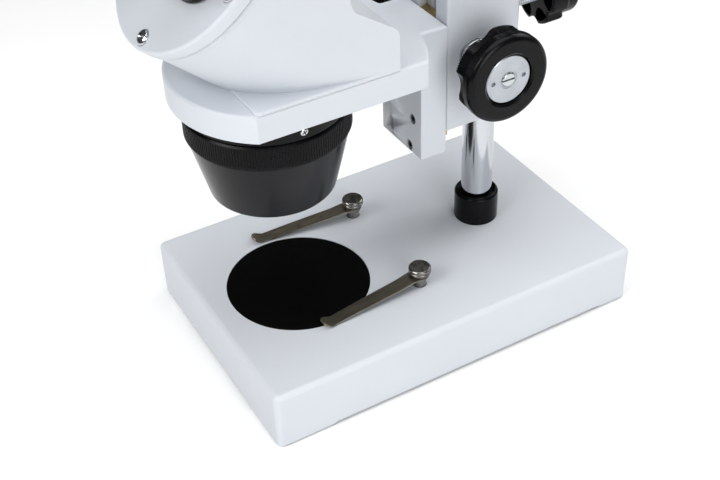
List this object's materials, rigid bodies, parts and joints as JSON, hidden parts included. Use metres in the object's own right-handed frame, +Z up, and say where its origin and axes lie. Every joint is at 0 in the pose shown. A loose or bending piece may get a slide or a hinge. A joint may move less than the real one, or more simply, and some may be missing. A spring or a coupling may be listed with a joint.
{
  "type": "stereo microscope",
  "caption": "Stereo dissecting microscope with a rectangular base, chrome post, rack focus block, inclined binocular head, objective turret and two stage clips.",
  "frame": {"origin": "middle of the overall box, at table level", "axes": "+Z up along the post, -Y towards the person looking in, +X to that person's right"},
  "size_m": [0.114, 0.2246, 0.2662],
  "materials": {
    "white_paint": "satin powder coat on cast metal",
    "black_plastic": "satin black moulded plastic",
    "stage_black": "fine matt black",
    "dark_gloss": "polished dark grey",
    "rubber": "matt",
    "chrome": "polished plating",
    "steel": "turned and plated",
    "dark_steel": "blackened",
    "spring_bronze": "bronze-tinted spring strip",
    "aluminium": "turned, fine matt",
    "brass": "machined",
    "glass": "coated lens"
  },
  "bodies": {
    "base": {"base_casting": "white_paint", "foot_front_left": "rubber", "foot_front_right": "rubber", "foot_rear_left": "rubber", "foot_rear_right": "rubber", "stage_plate": "stage_black", "post": "chrome", "post_collar": "black_plastic", "post_nut": "steel"},
    "clip_left": {"clip_left_stud": "steel", "clip_left_blade": "spring_bronze"},
    "clip_right": {"clip_right_stud": "steel", "clip_right_blade": "spring_bronze"},
    "sleeve": {"post_sleeve": "dark_steel"},
    "focus_block": {"focus_block": "white_paint", "pinion_bush_left": "aluminium", "pinion_bush_right": "aluminium"},
    "clamp": {"clamp_screw": "steel", "clamp_knob": "black_plastic"},
    "head": {"arm_casting": "white_paint", "bracket_screw_low_left": "dark_steel", "bracket_screw_low_right": "dark_steel", "bracket_screw_high_left": "dark_steel", "bracket_screw_high_right": "dark_steel", "dovetail_slide": "brass", "focus_rack": "brass", "head_body": "white_paint", "front_cover": "white_paint", "cover_screw_1": "chrome", "cover_screw_2": "chrome", "cover_screw_3": "chrome", "cover_screw_4": "chrome", "cover_screw_5": "chrome", "objective_collar": "black_plastic", "collar_screw": "chrome", "turret_spindle": "steel"},
    "pinion": {"pinion_shaft": "chrome", "focus_knob_left": "black_plastic", "focus_knob_right": "black_plastic", "knob_cap_left": "aluminium", "knob_cap_right": "aluminium"},
    "turret": {"turret_ring": "black_plastic", "turret_cone": "dark_gloss", "objective_low_1": "glass", "objective_low_2": "glass", "objective_high_1": "glass", "objective_high_2": "glass"},
    "eye_left": {"swing_ring_left": "black_plastic", "prism_housing_left": "white_paint", "eye_tube_left": "black_plastic"},
    "eye_right": {"swing_ring_right": "black_plastic", "prism_housing_right": "white_paint", "eye_tube_right": "black_plastic"},
    "dioptre": {"dioptre_ring": "black_plastic"},
    "eyepiece_left": {"eyepiece_left": "black_plastic", "eye_lens_left": "glass", "eyecup_left": "rubber"},
    "eyepiece_right": {"eyepiece_right": "black_plastic", "eye_lens_right": "glass", "eyecup_right": "rubber"}
  },
  "joints": [
    {"name": "clip_left_swing", "type": "hinge", "parent": "base", "child": "clip_left", "pos_m": [-0.028, 0.02367, 0.0268], "axis": [0, 0, 1], "range_deg": [-35, 36]},
    {"name": "clip_right_swing", "type": "hinge", "parent": "base", "child": "clip_right", "pos_m": [0.028, 0.02367, 0.0268], "axis": [0, 0, 1], "range_deg": [-30, 40]},
    {"name": "height_slide", "type": "slide", "parent": "base", "child": "sleeve", "axis": [0, 0, 1], "range_m": [-0.03, 0.085]},
    {"name": "block_turn", "type": "hinge", "parent": "sleeve", "child": "focus_block", "pos_m": [0, 0.07067, 0.1165], "axis": [0, 0, 1], "continuous": true},
    {"name": "clamp_turn", "type": "hinge", "parent": "focus_block", "child": "clamp", "pos_m": [0, 0.08517, 0.1275], "axis": [0, 1, 0], "range_deg": [0, 180]},
    {"name": "focus_slide", "type": "slide", "parent": "focus_block", "child": "head", "axis": [0, 0, 1], "range_m": [-0.011, 0.026]},
    {"name": "pinion_turn", "type": "hinge", "parent": "focus_block", "child": "pinion", "pos_m": [0, 0.05727, 0.1186], "axis": [1, 0, 0], "range_deg": [-375, 160]},
    {"name": "turret_turn", "type": "hinge", "parent": "head", "child": "turret", "pos_m": [0, -0.02583, 0.113], "axis": [0, 0, 1], "range_deg": [0, 90]},
    {"name": "eye_left_swing", "type": "hinge", "parent": "head", "child": "eye_left", "pos_m": [-0.0154, -0.0506, 0.18772], "axis": [0, -0.7431, 0.6691], "range_deg": [-25, 20]},
    {"name": "eye_right_swing", "type": "hinge", "parent": "head", "child": "eye_right", "pos_m": [0.0154, -0.0506, 0.18772], "axis": [0, -0.7431, 0.6691], "range_deg": [-20, 25]},
    {"name": "dioptre_turn", "type": "hinge", "parent": "eye_left", "child": "dioptre", "pos_m": [-0.03379, -0.0697, 0.22568], "axis": [0, -0.7431, 0.6691], "range_deg": [-150, 150]},
    {"name": "eyepiece_left_lift", "type": "slide", "parent": "eye_left", "child": "eyepiece_left", "axis": [0, -0.7431, 0.6691], "range_m": [0, 0.013]},
    {"name": "eyepiece_right_lift", "type": "slide", "parent": "eye_right", "child": "eyepiece_right", "axis": [0, -0.7431, 0.6691], "range_m": [0, 0.013]}
  ],
  "couplings": [
    {"joint": "pinion_turn", "follows": "focus_slide", "rad_per_m": -250},
    {"joint": "eye_right_swing", "follows": "eye_left_swing", "ratio": -1}
  ]
}
